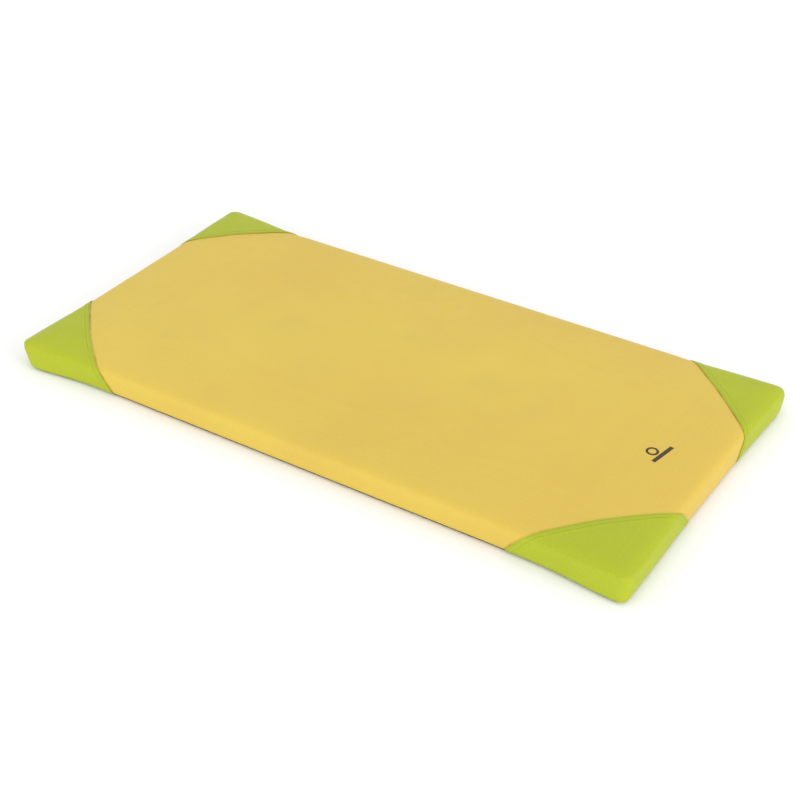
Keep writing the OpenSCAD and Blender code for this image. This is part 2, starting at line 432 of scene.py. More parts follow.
def tuck(co):
    """Rounds each upright corner more and more towards the foot."""
    foot = np.full(len(co), CORNER_R)
    for corner, (sx, sy) in CORNERS.items():
        foot[(co[:, 0] * sx > 0) & (co[:, 1] * sy > 0)] = FOOT_CORNER_R[corner]
    radius = CORNER_R + (foot - CORNER_R) * lowness(co)
    half, plan, sign, q = plan_view(co)
    old = np.where((q > 0).all(1), CORNER_R - np.linalg.norm(q, axis=1), (half - plan).min(1))
    wide = plan - (half - radius[:, None])
    reach = np.linalg.norm(np.clip(wide, 1e-9, None), axis=1)
    target = radius - old
    inside = (wide > 0).all(1) & (reach > target) & (target > 0)
    scale = np.where(inside, target / np.maximum(reach, 1e-9), 1)
    moved = np.where(wide > 0, wide * scale[:, None], wide) + (half - radius[:, None])
    out = co.copy()
    out[:, :2] = np.where(inside[:, None], moved * sign, co[:, :2])
    return out


UNEVEN = 0.0011                          # height of the top's slow rise and fall
HELD_FROM, HELD_TO = 0.012, 0.0615       # heights between which the rear wall is upright
HELD_BAND = 0.009                        # how deep behind its plane the wall may lie


def uneven(co, height):
    """A slow rise and fall over the top, as of hand-cut foam under tight fabric."""
    lift = np.array([noise.noise(Vector((x * 3.1, y * 3.1, 4.0))) for x, y, _ in co])
    lift += 0.4 * np.array([noise.noise(Vector((x * 9, y * 9, 7.0))) for x, y, _ in co])
    up = smooth_step((co[:, 2] - 0.055) / 0.02) * smooth_step(edge_distance(co) / 0.12)
    out = co.copy()
    out[:, 2] += lift * height * up
    return out


def hold_at_zip(co):
    """Keeps the rear wall upright in front of the zip's tapes, up to the top edge."""
    upright = 1 - smooth_step((co[:, 2] - HELD_TO) / 0.007)
    upright *= smooth_step((co[:, 2] - HELD_FROM) / 0.006)
    upright *= 1 - smooth_step((np.abs(co[:, 0]) - ZIP_END - 0.012) / 0.035)
    upright *= smooth_step((co[:, 1] - WALL_Y + HELD_BAND) / 0.004)
    out = co.copy()
    out[:, 1] += (WALL_Y - co[:, 1]) * upright
    return out


# %% Settle and smooth the cover
modify(cover, "SMOOTH", factor=0.5, iterations=2)
modify(cover, "SUBSURF", levels=1, render_levels=1)
# The ridge is the crest of the top edge's round; the caps copy it, and their material paints a
# highlight there.
u, c, _ = fold(points(cover))
keep_value(cover, "ridge", smooth_step((u * c - 0.44) / 0.05))
set_points(cover, hold_at_zip(uneven(settle(points(cover)), UNEVEN)))
only(cover)
bpy.ops.object.shade_smooth()
print("cover:", len(cover.data.polygons), "faces, top at", round(points(cover)[:, 2].max(), 4))

# %% [markdown]
# ## Corner caps: cut from the cover's own surface
#
# A cap is tougher fabric, folded over at its edge and sewn on with two rows of thread. It
# could be modelled as a box corner, but it would never lie on a crowned, creased cover. So
# each cap starts as a copy of the cover, and a slanted cut keeps just its corner. More cuts
# mark the rows of stitches and the back of the hem, and each row is kept as a vertex group.
# Then the hem is raised, the edge gets its slight curve, and Solidify gives the thickness.

# %% Cutting planes and rows
CAP_T = 0.0013                 # thickness of the cap's fabric
CAP_GAP = 0.0003               # from the cover to the cap
CAP_FOOT = 0.0036              # where the base seam takes the cap
HEM_W, HEM_RISE = 0.017, 0.0007
HEM_STEP = 0.0015              # width of the step at the back of the hem
ROWS = {"row_1": 0.0035, "row_2": 0.0125}


def edge_curve(co, corner, inward):
    """How far the cap's edge is pulled away from the corner at each point."""
    sx, sy = CORNERS[corner]
    across = (sx * co[:, 0] - HALF_L) - (sy * co[:, 1] - HALF_W)
    curve = np.clip(1 - (across / CAP_LEG_TOP) ** 2, 0, 1)
    fade = np.clip(1 - np.abs(inward) / 0.07, 0, 1) ** 2
    on_top = smooth_step((co[:, 2] - 0.06) / 0.012)
    return CAP_CUTS[corner][2] * curve * fade * on_top


def cap_edge(co):
    """Distance of each point to the nearest cap's edge: above 0 under the cap."""
    best = np.full(len(co), -1.0)
    for corner in CORNERS:
        inward = inside_cap(co, corner)
        best = np.maximum(best, inward + edge_curve(co, corner, inward))
    return best


def cut(place, normal, keep_front=False):
    """Cuts the whole mesh in edit mode. The new edges stay selected."""
    everything()
    bpy.ops.mesh.bisect(plane_co=place, plane_no=normal, clear_inner=keep_front)


def name_row(obj, name):
    """Keeps the selected vertices as a vertex group."""
    obj.vertex_groups.new(name=name)
    bpy.ops.object.vertex_group_assign()


def surface_normals(obj):
    found = np.empty(len(obj.data.vertices) * 3)
    obj.data.vertex_normals.foreach_get("vector", found)
    return found.reshape(-1, 3)


def row_path(obj, name):
    """A vertex group's points and normals, in order from one end of the row to the other."""
    group = obj.vertex_groups[name].index
    chosen = {v.index for v in obj.data.vertices if any(g.group == group for g in v.groups)}
    near = {i: [] for i in chosen}
    for edge in obj.data.edges:
        a, b = edge.vertices
        if a in chosen and b in chosen:
            near[a].append(b)
            near[b].append(a)
    here = min(chosen, key=lambda i: (len(near[i]), i))
    order, seen = [here], {here}
    while True:
        ahead = [i for i in near[here] if i not in seen]
        if not ahead:
            break
        here = ahead[0]
        order.append(here)
        seen.add(here)
    return points(obj)[order], surface_normals(obj)[order]


# %% Cut, raise and thicken each cap
def cap_piece(corner):
    sx, sy = CORNERS[corner]
    cap = copy_of(cover, "cap_" + corner)
    edit(cap)
    cut(*seam_plane(corner), keep_front=True)
    cut((0, 0, CAP_FOOT), (0, 0, 1), keep_front=True)
    for row, back in [*ROWS.items(), ("hem", HEM_W), ("hem_foot", HEM_W + HEM_STEP)]:
        cut(*seam_plane(corner, back))
        name_row(cap, row)
    done()
    co, normals = points(cap), surface_normals(cap)
    inward = inside_cap(co, corner)
    hem = 1 - smooth_step((inward - HEM_W) / HEM_STEP)
    co += normals * (CAP_GAP + HEM_RISE * hem)[:, None]
    pull = edge_curve(co, corner, inward)
    co[:, 0] -= sx * pull / math.sqrt(2)
    co[:, 1] -= sy * pull / math.sqrt(2)
    set_points(cap, co)
    paths = {row: row_path(cap, row) for row in ROWS}
    modify(cap, "SOLIDIFY", thickness=CAP_T, offset=1)
    cap.vertex_groups.clear()
    smooth(cap, 50)
    return cap, paths


caps, cap_rows = {}, {}
for corner in CORNERS:
    caps[corner], cap_rows[corner] = cap_piece(corner)
    print(corner, len(caps[corner].data.polygons), "faces")

# %% [markdown]
# ## One stitch, sewn many times
#
# A stitch that shows is a short bead of thread that dips into the fabric at both ends. One
# is modelled with few faces. A row of stitches places that shape along a path, with its
# length along the seam and its back away from the fabric.

# %% Model one stitch
def stitch(length, radius):
    nothing()
    bpy.ops.mesh.primitive_cylinder_add(vertices=6, radius=radius, depth=length,
                                        rotation=(0, math.pi / 2, 0))
    bead = new_piece("stitch")
    edit(bead)
    pick(bead, "EDGE", lambda e: spans(e, "x") > length / 2)
    bpy.ops.mesh.subdivide(number_cuts=2)
    done()
    co = points(bead)
    end = np.abs(co[:, 0]) / (length / 2)
    co[:, 1] *= 1 - 0.35 * end ** 2
    co[:, 2] = co[:, 2] * (1 - 0.3 * end ** 2) + radius * (0.55 - 1.3 * end ** 3)
    set_points(bead, co)
    return bead


def tile(name, model, frames):
    """Copies a small model to many places. A frame is a place, a forward and an up."""
    co = points(model)
    faces = [list(p.vertices) for p in model.data.polygons]
    new_co, new_faces = [], []
    for k, (place, forward, up) in enumerate(frames):
        side = np.cross(up, forward)
        side = side / np.linalg.norm(side)
        forward = np.cross(side, up)
        axes = np.array([forward / np.linalg.norm(forward), side, up])
        new_co.append(co @ axes + place)
        new_faces += [[i + k * len(co) for i in face] for face in faces]
    mesh = bpy.data.meshes.new(name)
    mesh.from_pydata(np.concatenate(new_co).tolist(), [], new_faces)
    obj = bpy.data.objects.new(name, mesh)
    bpy.context.scene.collection.objects.link(obj)
    only(obj)
    bpy.ops.object.shade_smooth()
    return obj


def along(path, normals, pitch, lift=0.0):
    """Frames at an even pitch along a path."""
    steps = np.linalg.norm(np.diff(path, axis=0), axis=1)
    reach = np.concatenate([[0], np.cumsum(steps)])
    where = np.arange(pitch / 2, reach[-1], pitch)
    place = np.stack([np.interp(where, reach, path[:, k]) for k in range(3)], 1)
    ahead = np.stack([np.interp(where + pitch / 3, reach, path[:, k]) for k in range(3)], 1)
    behind = np.stack([np.interp(where - pitch / 3, reach, path[:, k]) for k in range(3)], 1)
    up = np.stack([np.interp(where, reach, normals[:, k]) for k in range(3)], 1)
    up /= np.linalg.norm(up, axis=1)[:, None]
    return list(zip(place + up * lift, ahead - behind, up))


# %% Sew the caps
STITCH_PITCH, STITCH_L, THREAD_R = 0.0060, 0.0046, 0.00042
bead = stitch(STITCH_L, THREAD_R)
cap_threads = {}
for corner in CORNERS:
    frames = [f for row in ROWS
              for f in along(*cap_rows[corner][row], STITCH_PITCH, CAP_T)]
    cap_threads[corner] = tile("cap_thread_" + corner, bead, frames)
    print(corner, len(frames), "stitches")

# %% [markdown]
# ## The slot for the zip
#
# Behind the zip the cover is open. The padded form stays closed, so the opening is a long
# shallow pocket: four cuts mark its outline on the rear wall, and the faces inside are
# extruded inwards. They go in by one thickness of fabric, then spread up and down behind
# the wall, where the zip's tapes are, and then go in again. The rim is beveled like a
# folded edge.

# %% Open the slot
SLOT_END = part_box("zip_top_stops")[1].x
LIP_T, POCKET_DEPTH, POCKET_HALF = 0.0010, 0.0075, 0.0205
POCKET_PAST = 0.008            # how far the pocket goes past each end of the slot


def near_slot(face, half_z, half_x):
    """Whether a face is on the rear wall, and this close to the middle of the zip."""
    c = face.calc_center_median()
    return c.y > WALL_Y - 0.004 and abs(c.z - ZIP_Z) < half_z and abs(c.x) < half_x


edit(cover)
for place, normal in (((0, 0, ZIP_Z - SLOT_HALF), (0, 0, 1)),
                      ((0, 0, ZIP_Z + SLOT_HALF), (0, 0, 1)),
                      ((-SLOT_END, 0, 0), (1, 0, 0)), ((SLOT_END, 0, 0), (1, 0, 0))):
    pick(cover, "FACE", lambda f: near_slot(f, 0.024, SLOT_END + 0.03))
    bpy.ops.mesh.bisect(plane_co=place, plane_no=normal)


def extrude(x=0, y=0, z=0):
    """In edit mode, extrudes the selected faces and moves the new ones."""
    bpy.ops.mesh.extrude_region_move(TRANSFORM_OT_translate={"value": (x, y, z)})


def stretch(x, y, z, around=None):
    """In edit mode, scales the selection, around a place if one is given."""
    settings = {"center_override": around} if around else {}
    bpy.ops.transform.resize(value=(x, y, z), **settings)


print("slot faces:", pick(cover, "FACE", lambda f: near_slot(f, SLOT_HALF, SLOT_END)))
extrude(y=-LIP_T)
extrude()
stretch(1 + POCKET_PAST / SLOT_END, 1, POCKET_HALF / SLOT_HALF, around=(0, WALL_Y, ZIP_Z))
extrude(y=-POCKET_DEPTH)


def on_rim(edge):
    a, b = edge.verts
    at_slot = (max(abs(v.co.z - ZIP_Z) for v in edge.verts) < SLOT_HALF + MM
               and max(abs(v.co.x) for v in edge.verts) < SLOT_END + MM)
    if not at_slot or not edge.is_manifold:
        return False
    inward = [abs(f.normal.y) < 0.5 for f in edge.link_faces]
    return inward[0] != inward[1] and min(a.co.y, b.co.y) > WALL_Y - LIP_T / 2


pick(cover, "EDGE", on_rim)
bevel(0.0004, 2)
done()
smooth(cover, 50)

# %% [markdown]
# ## The non-slip base sheet
#
# The underside is a sheet of rubbery fabric with rows of small domes that grip the floor.
# The sheet is a grid that settles with the mat's outline and gets a thickness. One dome is
# modelled and repeated on a staggered net, wherever there is sheet above it.

# %% Sheet and domes
BASE_INSET, BASE_CORNER_R = 0.011, 0.040
SHEET_LOW = 0.0011             # underside of the sheet between the domes
DOME_R, DOME_PITCH = 0.0034, 0.0225
DOME_CORNER, DOME_CORNER_R = 0.105, 0.072     # the domes stop at a round at each corner


def grid_piece(name, columns, rows, size_x, size_y, place=(0, 0, 0)):
    """A flat grid, facing up."""
    nothing()
    bpy.ops.mesh.primitive_grid_add(x_subdivisions=columns, y_subdivisions=rows, size=1)
    bpy.context.object.scale = (size_x, size_y, 1)
    bpy.context.object.location = place
    return new_piece(name)


base = grid_piece("base_nonslip", 90, 45, 2 * (WALL_X - BASE_INSET), 2 * (WALL_Y - BASE_INSET),
                  (0, 0, SHEET_LOW))
edit(base)
pick(base, "VERT", lambda v: len(v.link_edges) == 2)
bpy.ops.mesh.bevel(offset=BASE_CORNER_R, segments=6, affect="VERTICES")
done()
set_points(base, settle(points(base)))
modify(base, "SOLIDIFY", thickness=FLOOR_GAP - SHEET_LOW - 0.0001, offset=1)

nothing()
bpy.ops.mesh.primitive_circle_add(vertices=6, radius=DOME_R, fill_type="NGON")
dome = new_piece("dome")
edit(dome)
everything()
extrude(z=0.0007)
stretch(0.82, 0.82, 1)
extrude(z=0.0004)
stretch(0.45, 0.45, 1)
done()


def dome_places():
    """A staggered net of places, a little inside the sheet's edge."""
    row_step = DOME_PITCH * math.sqrt(3) / 2
    rows = int((WALL_Y - 0.03) / row_step)
    for j in range(-rows, rows + 1):
        shift = DOME_PITCH / 2 if j % 2 else 0
        count = int((WALL_X - 0.03 - shift) / DOME_PITCH)
        for i in range(-count - (1 if shift else 0), count + 1):
            x, y = i * DOME_PITCH + shift, j * row_step
            beyond = (abs(x) - (WALL_X - DOME_CORNER), abs(y) - (WALL_Y - DOME_CORNER))
            if min(beyond) > 0 and math.hypot(*beyond) > DOME_CORNER_R:
                continue
            yield np.array((x, y, SHEET_LOW)), np.array((1, 0, 0)), np.array((0, 0, -1))


frames = list(dome_places())
spots = settle(np.array([spot for spot, _, _ in frames]))
domes = tile("base_domes", dome, [(spots[k], *f[1:]) for k, f in enumerate(frames)])
print("domes:", len(domes.data.polygons) // len(dome.data.polygons))

# %% Sew the base to the walls
SEAM_INSET, BASE_STITCH_PITCH = 0.0165, 0.0075


def ring_path(step):
    """A rectangle a little inside the walls, as points at an even step."""
    hx, hy = WALL_X - SEAM_INSET, WALL_Y - SEAM_INSET
    ring = []
    for (x0, y0), (x1, y1) in (((-hx, -hy), (hx, -hy)), ((hx, -hy), (hx, hy)),
                               ((hx, hy), (-hx, hy)), ((-hx, hy), (-hx, -hy))):
        count = round(math.hypot(x1 - x0, y1 - y0) / step)
        ring += [(x0 + (x1 - x0) * k / count, y0 + (y1 - y0) * k / count, SHEET_LOW)
                 for k in range(count)]
    return settle(np.array([*ring, ring[0]]))


ring = ring_path(0.004)
down = np.tile((0.0, 0.0, -1.0), (len(ring), 1))
base_thread = tile("base_thread", bead, along(ring, down, BASE_STITCH_PITCH))
print("base seam:", len(base_thread.data.polygons) // len(bead.data.polygons), "stitches")

# %% [markdown]
# ## The foam inside
#
# Two layers fill the cover: a firm one below and a soft one above. They are never seen with
# the zip closed, but the part is an assembly, so they are there: beveled blocks, remeshed so
# that they can settle with the mat's outline, a little inside the cover.

# %% Two layers
FOAM_INSET = 0.014
SPLIT_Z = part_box("foam_base_layer")[1].z


def foam_layer(name, low_z, high_z, corner, edge):
    reach_x, reach_y = WALL_X - FOAM_INSET, WALL_Y - FOAM_INSET
    foam = box_piece(name, (-reach_x, -reach_y, low_z), (reach_x, reach_y, high_z))
    edit(foam)
    pick(foam, "EDGE", lambda e: spans(e, "z") > 0.01)
    bevel(corner, 8)
    pick(foam, "EDGE", lambda e: spans(e, "z") < 0.001)
    bevel(edge, 2)
    done()
    modify(foam, "REMESH", mode="VOXEL", voxel_size=0.010)
    co = points(foam)
    rise = 0.5 * CROWN * smooth_step((co[:, 2] - SPLIT_Z - 0.01) / 0.02)
    co[:, 2] += rise * smooth_step(edge_distance(co) / 0.25)
    set_points(foam, settle(co))
    smooth(foam, 40)
    print(name, len(foam.data.polygons), "faces")
    return foam


foam_lower = foam_layer("foam_firm", FLOOR_GAP + 0.002, SPLIT_Z - 0.0002, 0.045, 0.003)
foam_upper = foam_layer("foam_soft", SPLIT_Z + 0.0002, EDGE_TOP - 0.006, 0.030, 0.006)

# %% [markdown]
# ## The zip
#
# The chain is two rows of moulded teeth. A tooth is a small block with a narrower head that
# points at the other row. It could be a plain box per row, but the light would show a rail,
# not teeth. So one tooth is modelled, and each row repeats it at the zip's pitch, the lower
# row half a pitch behind the upper one.

# %% Model one tooth
TOOTH_PITCH = 0.0033
upper_low, upper_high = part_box("zip_teeth_upper")
lower_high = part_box("zip_teeth_lower")[1]
CHAIN_Y = middle("zip_teeth_upper", "y")
ROW_HALF = (upper_high.z - upper_low.z) / 2
ROW_T = upper_high.y - upper_low.y
TOOTH_HALF, BODY_TOP, NECK, HEAD = 0.0010, 0.0016, 0.0004, 0.00075

tooth = box_piece("tooth", (-TOOTH_HALF, -ROW_HALF, -ROW_T / 2), (TOOTH_HALF, BODY_TOP, ROW_T / 2))
edit(tooth)
pick(tooth, "FACE", lambda f: f.normal.y > 0.9)
extrude(y=NECK)
stretch(0.6, 1, 0.8)
extrude(y=HEAD)
stretch(1.35, 1, 0.9)
pick(tooth, "EDGE", lambda e: spans(e, "x") > 0.0015)
bevel(0.0003, 1)
done()
print("tooth:", len(tooth.data.polygons), "faces")


# %% Set the rows
def tooth_row(name, z, head_down, shift):
    """A row of teeth on one side of the chain, with its heads towards the other."""
    count = int((upper_high.x - upper_low.x - 0.004) / TOOTH_PITCH)
    start = -(count - 1) / 2 * TOOTH_PITCH
    forward = np.array((1.0 if head_down else -1.0, 0, 0))
    frames = [(np.array((start + (k + shift) * TOOTH_PITCH, CHAIN_Y, z)), forward,
               np.array((0.0, 1.0, 0.0))) for k in range(count)]
    row = tile(name, tooth, frames)
    bpy.ops.object.shade_smooth_by_angle(angle=math.radians(35))
    print(name, count, "teeth")
    return row


teeth_upper = tooth_row("zip_row_upper", middle("zip_teeth_upper", "z"), True, 0.25)
teeth_lower = tooth_row("zip_row_lower", middle("zip_teeth_lower", "z"), False, -0.25)


# %% Sew the tapes to the wall
ZIP_STITCH_PITCH, ZIP_STITCH_L, ZIP_THREAD_R = 0.005, 0.0038, 0.00028
skin = BVHTree.FromPolygons(points(cover).tolist(),
                            [list(p.vertices) for p in cover.data.polygons])


def on_wall(x, z, lift=0.0):
    """A place on the rear wall of the cover and its normal."""
    place, normal, _, _ = skin.ray_cast(Vector((x, HALF_W + 0.05, z)), Vector((0, -1, 0)))
    return np.array(place + normal * lift), np.array(normal)


def wall_stitches(name, z):
    """A row of stitches through the wall and a tape, as long as the rows of teeth."""
    spots = [on_wall(x, z) for x in np.linspace(-ZIP_END, ZIP_END, 160)]
    path = np.array([place for place, _ in spots])
    normals = np.array([normal for _, normal in spots])
    return tile(name, zip_bead, along(path, normals, ZIP_STITCH_PITCH))


row_z = middle("zip_stitches_upper", "z") - ZIP_Z
zip_bead = stitch(ZIP_STITCH_L, ZIP_THREAD_R)
zip_thread_upper = wall_stitches("zip_thread_upper", ZIP_Z + row_z)
zip_thread_lower = wall_stitches("zip_thread_lower", ZIP_Z - row_z)
print("zip stitches:", round(row_z, 4), "above and below the middle of the zip")

# %% [markdown]
# ## Stops, slider and pull
#
# The metal parts are small castings: flat plates and bars whose edges are all a little
# round. A bevel on every edge is what makes them catch the light like metal, so each part
# is built from blocks at the CAD's sizes, shaped in edit mode, joined and beveled.


# %% Metal helpers and stops
def joined(name, parts):
    """Joins parts into the first one."""
    nothing()
    for part in parts:
        part.select_set(True)
    bpy.context.view_layer.objects.active = parts[0]
    bpy.ops.object.join()
    parts[0].name = parts[0].data.name = name
    return parts[0]


def soften(obj, width, segments=2):
    """Bevels the sharp edges and smooths the shading."""
    modify(obj, "BEVEL", width=width, segments=segments, limit_method="ANGLE",
           angle_limit=math.radians(30))
    smooth(obj, 40)
    return obj


def crimp(name, low, high):
    """A stop: a block pressed over the tape, pinched in the middle."""
    stop = box_piece(name, low, high)
    edit(stop)
    pick(stop, "EDGE", lambda e: spans(e, "x") > 0.003)
    bpy.ops.mesh.subdivide(number_cuts=2)
    mid_x, mid_z = (low[0] + high[0]) / 2, (low[2] + high[2]) / 2
    pick(stop, "VERT", lambda v: abs(v.co.x - mid_x) < 0.002)
    stretch(1, 0.78, 0.90, around=(mid_x, CHAIN_Y, mid_z))
    done()
    return soften(stop, 0.0005, 3)


top_low, top_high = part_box("zip_top_stops")
stop_upper = crimp("stop_u", (top_low.x, top_low.y, upper_low.z), tuple(top_high))
stop_lower = crimp("stop_l", tuple(top_low), (top_high.x, top_high.y, lower_high.z))
top_stops = joined("zip_stops_top", [stop_upper, stop_lower])
bottom_stop = crimp("zip_stop_bottom", *map(tuple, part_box("zip_bottom_stop")))
print("stops:", len(top_stops.data.polygons), "and", len(bottom_stop.data.polygons), "faces")

# %% The slider
slide_low, slide_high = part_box("zip_slider")
SLIDE_X = middle("zip_slider", "x")
PLATE_T = 0.0010
PLATE_CORNER_R = 0.0022
LIP_END, LIP_SLANT = 0.0022, 0.0011            # the lips stop short, and follow the narrow end
TOOTH_GAP = 0.0002                             # from a lip to the teeth
POST_HALF = 0.00035                            # half width of the post between the rows
plate_top = WALL_Y + 0.00065 + PLATE_T         # outer face of the outer plate
PIN_Y = middle("zip_pull", "y")


def slider_plate(name, low_y, high_y):
    """A plate like a shield: full width at its shoulders, narrower where the chain closes."""
    plate = box_piece(name, (slide_low.x, low_y, slide_low.z), (slide_high.x, high_y, slide_high.z))
    edit(plate)
    cut((SLIDE_X + 0.001, 0, 0), (1, 0, 0))
    pick(plate, "VERT", lambda v: v.co.x < SLIDE_X - 0.005)
    stretch(1, 1, 0.80, around=(slide_low.x, 0, ZIP_Z))
    pick(plate, "EDGE", lambda e: spans(e, "y") > PLATE_T / 2
         and abs(e.verts[0].co.x - SLIDE_X) > 0.005)
    bevel(PLATE_CORNER_R, 4)
    done()
    return plate


def slider_lip(side, low_y, high_y):
    """The turned-in edge of a plate, which runs beside the teeth."""
    z = ZIP_Z + side * (slide_high.z - ZIP_Z - PLATE_T / 2)
    lip = box_piece("lip", (slide_low.x + LIP_END, low_y, z - PLATE_T / 2),
                    (slide_high.x - LIP_END, high_y, z + PLATE_T / 2))
    edit(lip)
    pick(lip, "VERT", lambda v: v.co.x < SLIDE_X)
    bpy.ops.transform.translate(value=(0, 0, -side * LIP_SLANT))
    done()
    return lip


outer = slider_plate("outer", plate_top - PLATE_T, plate_top)
inner = slider_plate("inner", slide_low.y, slide_low.y + PLATE_T)
lips = [slider_lip(side, *span) for side in (-1, 1)
        for span in ((upper_high.y + TOOTH_GAP, plate_top - PLATE_T / 2),
                     (slide_low.y + PLATE_T / 2, upper_low.y - TOOTH_GAP))]
post = box_piece("post", (slide_high.x - 0.004, slide_low.y + PLATE_T / 2, ZIP_Z - POST_HALF),
                 (slide_high.x - 0.0003, plate_top - PLATE_T / 2, ZIP_Z + POST_HALF))
print("slider: two plates,", len(lips), "lips and a post")

# %% The bridge over the pull's pin
BRIDGE_HALF, BRIDGE_T, BRIDGE_W = 0.0030, 0.0006, 0.0012
bridge = box_piece("bridge", (SLIDE_X - BRIDGE_HALF - BRIDGE_T, plate_top - PLATE_T / 2,
                              ZIP_Z - BRIDGE_W),
                   (SLIDE_X - BRIDGE_HALF, slide_high.y, ZIP_Z + BRIDGE_W))
edit(bridge)
cut((0, slide_high.y - BRIDGE_T, 0), (0, 1, 0))
pick(bridge, "FACE", lambda f: f.normal.x > 0.9
     and f.calc_center_median().y > slide_high.y - BRIDGE_T)
extrude(x=2 * BRIDGE_HALF)
extrude(x=BRIDGE_T)
pick(bridge, "FACE", lambda f: f.normal.y < -0.9
     and f.calc_center_median().x > SLIDE_X + BRIDGE_HALF)
extrude(y=plate_top - PLATE_T / 2 - slide_high.y + BRIDGE_T)
pick(bridge, "EDGE", lambda e: min(v.co.y for v in e.verts) > slide_high.y - MM / 10
     and spans(e, "z") > MM
     and abs(e.verts[0].co.x - SLIDE_X) > BRIDGE_HALF + BRIDGE_T / 2)
bevel(0.0005, 3)
done()
for part in (outer, inner, post, bridge, *lips):
    soften(part, 0.00022)
slider = joined("zip_runner", [outer, inner, post, bridge, *lips])
print("slider:", len(slider.data.polygons), "faces")

# %% The pull
pull_low, pull_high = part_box("zip_pull")
PIN_R = (pull_high.y - pull_low.y) / 2
PULL_HALF = (pull_high.z - pull_low.z) / 2
ROOT_X, WINDOW_HALF, FRAME_W = SLIDE_X - 0.0044, 0.0017, 0.0012
PULL_END_R, HOLE_R = 0.0036, 0.0016
GRIP_HALF, GRIP_RISE = 0.0024, 0.00012         # the raised patch that fingers hold

pull = box_piece("zip_tab", pull_low, (ROOT_X, pull_high.y, pull_high.z))
edit(pull)
for x in (ROOT_X - 0.004, pull_low.x + 0.008):
    cut((x, 0, 0), (1, 0, 0))
pick(pull, "VERT", lambda v: v.co.x > ROOT_X - MM)
stretch(1, 1, (WINDOW_HALF + FRAME_W) / PULL_HALF, around=(ROOT_X, PIN_Y, ZIP_Z))
pick(pull, "EDGE", lambda e: e.verts[0].co.x < pull_low.x + MM
     and spans(e, "y") > PIN_R)
bevel(PULL_END_R, 7)
done()
print("tab:", len(pull.data.polygons), "faces")

# %% Its hole, its frame and its pin
nothing()
bpy.ops.mesh.primitive_cylinder_add(
    vertices=28, radius=HOLE_R, depth=0.01, rotation=(math.pi / 2, 0, 0),
    location=(pull_low.x + PULL_HALF, PIN_Y, ZIP_Z))
punch = bpy.context.object
modify(pull, "BOOLEAN", operation="DIFFERENCE", solver="EXACT", object=punch)
bpy.data.objects.remove(punch)
grip = box_piece("grip", (pull_low.x + 0.0085, pull_low.y - 0.00001, ZIP_Z - GRIP_HALF),
                 (ROOT_X - 0.006, pull_high.y + GRIP_RISE, ZIP_Z + GRIP_HALF))
arms = [box_piece("arm", (ROOT_X - 0.0003, pull_low.y, z - FRAME_W / 2),
                  (SLIDE_X, pull_high.y, z + FRAME_W / 2))
        for z in (ZIP_Z - WINDOW_HALF - FRAME_W / 2, ZIP_Z + WINDOW_HALF + FRAME_W / 2)]
nothing()
bpy.ops.mesh.primitive_cylinder_add(vertices=20, radius=PIN_R, location=(SLIDE_X, PIN_Y, ZIP_Z),
                                    depth=2 * (WINDOW_HALF + FRAME_W))
pin = new_piece("pin")
for part in (pull, grip, pin, *arms):
    soften(part, 0.00016)
pull = joined("zip_tab", [pull, grip, pin, *arms])
print("pull:", len(pull.data.polygons), "faces")

# %% [markdown]
# ## The care label
#
# A small blank label of satin tape is caught in the bottom seam and stands up along the
# rear wall. It is a grid laid on the wall, and its free edge curls out a little. The grid
# keeps its height, so the rows that lie on the round foot are spread further apart.

# %% Lay the label on the wall
label_low, label_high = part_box("care_label")
LABEL_T, LABEL_CURL = 0.00035, 0.0012
LABEL_GAP, LABEL_RAISE = 0.0003, 0.002         # off the wall, and above the CAD label
LABEL_L, LABEL_H = label_high.x - label_low.x, label_high.z - label_low.z
label = grid_piece("label_care", 24, 12, LABEL_L, LABEL_H)
co = points(label)
mid_label = middle("care_label", "z") + LABEL_RAISE
for k, (x, v, _) in enumerate(co):
    free = (v / LABEL_H + 0.5) ** 3
    wave = 0.6 + 0.4 * math.sin(x * 90 + 1)
    co[k] = on_wall(x, mid_label + v, LABEL_GAP + LABEL_CURL * free * wave)[0]
set_points(label, co)
edit(label)
everything()
bpy.ops.mesh.flip_normals()                    # laid on the wall, the grid faces into it
done()
modify(label, "SOLIDIFY", thickness=LABEL_T, offset=1)
smooth(label, 50)
print("label:", round(LABEL_L, 4), "by", round(LABEL_H, 4))

# %% [markdown]
# ## The printed mark
#
# Near the right end a small dark mark is printed on the top: here a plain ring and a bar.
# A print has no thickness to speak of, but an image would be needed to paint it, so it is
# modelled as a film of ink: flat shapes, laid on the crowned fabric point by point.

# %% Print the ring and the bar
INK_T, INK_GAP = 0.00018, 0.00004
RING_R, RING_W = 0.018, 0.007
BAR_GAP, BAR_W, BAR_L, BAR_SHIFT = 0.004, 0.012, 0.088, 0.008
PRINT_X, PRINT_Y, PRINT_TURN = 0.820, -0.004, math.radians(10)

nothing()
bpy.ops.mesh.primitive_circle_add(vertices=64, radius=RING_R, fill_type="NGON")
ring_print = new_piece("ring")
edit(ring_print)
everything()
bpy.ops.mesh.inset(thickness=RING_W)
bpy.ops.mesh.delete(type="FACE")
done()
bar_print = grid_piece("bar", 4, 24, BAR_W, BAR_L, (RING_R + BAR_GAP + BAR_W / 2, BAR_SHIFT, 0))
mark = joined("mark_print", [ring_print, bar_print])
edit(mark)
everything()
bpy.ops.mesh.subdivide(number_cuts=1)
done()
co = points(mark)
turn = np.array([[math.cos(PRINT_TURN), -math.sin(PRINT_TURN)],
                 [math.sin(PRINT_TURN), math.cos(PRINT_TURN)]])
co[:, :2] = co[:, :2] @ turn + (PRINT_X, PRINT_Y)
for k, (x, y, _) in enumerate(co):
    place, normal, _, _ = skin.ray_cast(Vector((x, y, TOP + 0.1)), Vector((0, 0, -1)))
    co[k] = place + normal * INK_GAP
set_points(mark, co)
modify(mark, "SOLIDIFY", thickness=INK_T, offset=1)
smooth(mark, 50)
